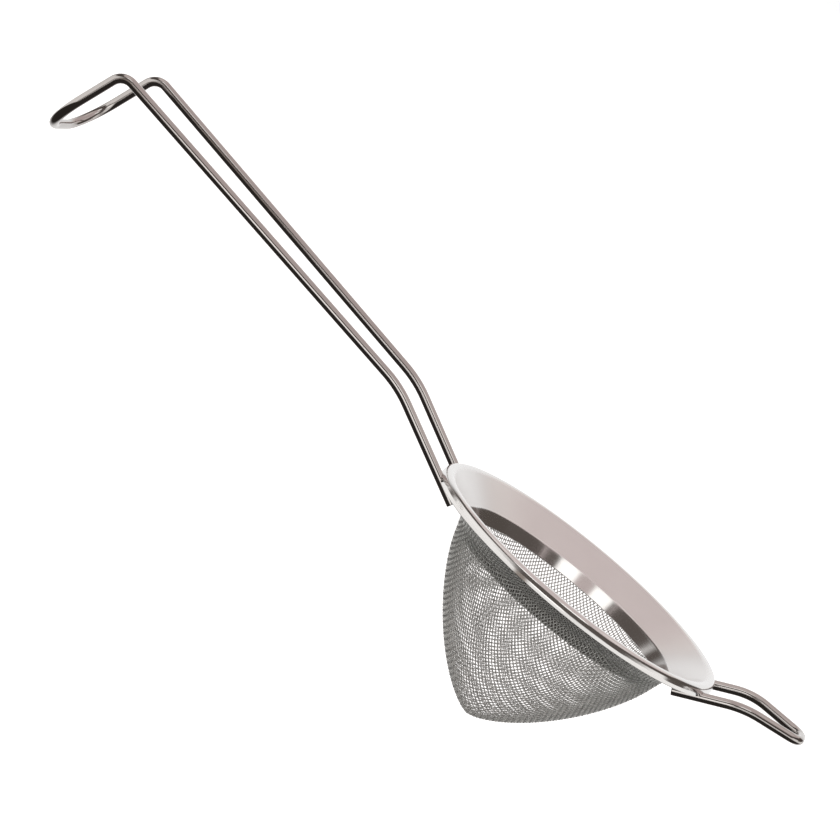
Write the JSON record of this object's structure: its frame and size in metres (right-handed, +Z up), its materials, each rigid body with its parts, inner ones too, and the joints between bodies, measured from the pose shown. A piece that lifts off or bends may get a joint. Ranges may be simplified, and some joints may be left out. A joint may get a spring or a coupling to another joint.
{
  "type": "tea strainer",
  "caption": "Conical woven-mesh tea strainer with a rolled rim, a long hooked double-wire handle and a short wire rest opposite.",
  "frame": {"origin": "centre of the circle on which the rim's bead sits on a cup, level with the bead's underside", "axes": "+Z up out of the mouth, basket below; -X towards the handle and its hook, +X towards the short rest wire; the legs of each wire are mirrored in Y"},
  "size_m": [0.2376, 0.084, 0.0701],
  "materials": {
    "polished_sheet": "polished stainless steel sheet, satin on the sloping flange",
    "woven_cloth": "fine woven stainless wire cloth",
    "polished_wire": "bright drawn stainless wire"
  },
  "bodies": {
    "root": {"rim_ring": "polished_sheet", "mesh_basket": "woven_cloth", "handle_wire": "polished_wire", "rest_wire": "polished_wire"}
  },
  "joints": []
}
